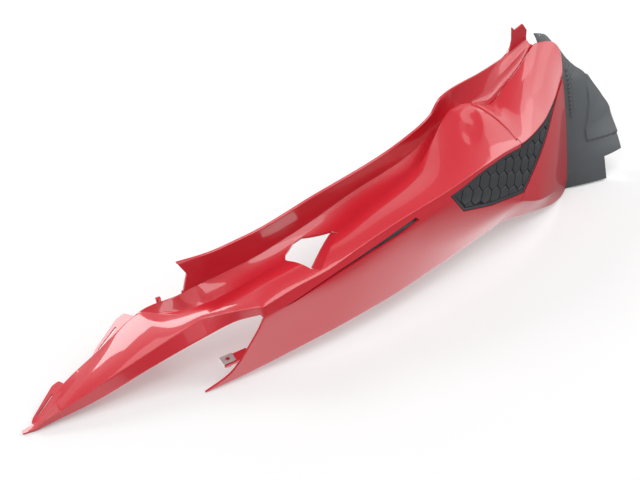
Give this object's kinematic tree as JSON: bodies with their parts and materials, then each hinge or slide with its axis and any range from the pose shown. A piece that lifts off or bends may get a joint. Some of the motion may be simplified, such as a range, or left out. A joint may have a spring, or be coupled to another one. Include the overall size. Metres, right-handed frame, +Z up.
{
  "type": "motorcycle tail fairing",
  "caption": "Long left-hand tail fairing in glossy red plastic with a pointed front arm, a raised inner rail, a window, a vent slit, a black honeycomb insert and a black inner cover.",
  "frame": {"origin": "centre of the box's bottom, on the surface it lies on", "axes": "+X from the front tongue to the tail, +Y from the outer face towards the middle of the machine, +Z up as it lies"},
  "size_m": [0.9554, 0.1862, 0.2435],
  "materials": {
    "gloss_red": "gloss",
    "black_plastic": "matte",
    "insert_black": "matte",
    "plated_steel": "plated"
  },
  "bodies": {
    "root": {"side_panel": "gloss_red", "upper_tail_panel": "gloss_red", "lower_tail_panel": "gloss_red", "honeycomb_insert": "insert_black", "inner_cover": "black_plastic", "vent_trim": "black_plastic", "front_spring_nut": "plated_steel", "rear_spring_nut": "plated_steel", "insert_screw_1": "plated_steel", "insert_screw_2": "plated_steel", "insert_screw_3": "plated_steel", "insert_screw_4": "plated_steel", "skirt_screw_1": "plated_steel", "trim_screw_1": "plated_steel", "trim_screw_2": "plated_steel", "cover_screw_1": "plated_steel", "cover_screw_2": "plated_steel", "deck_screw_1": "plated_steel", "deck_screw_2": "plated_steel"}
  },
  "joints": []
}
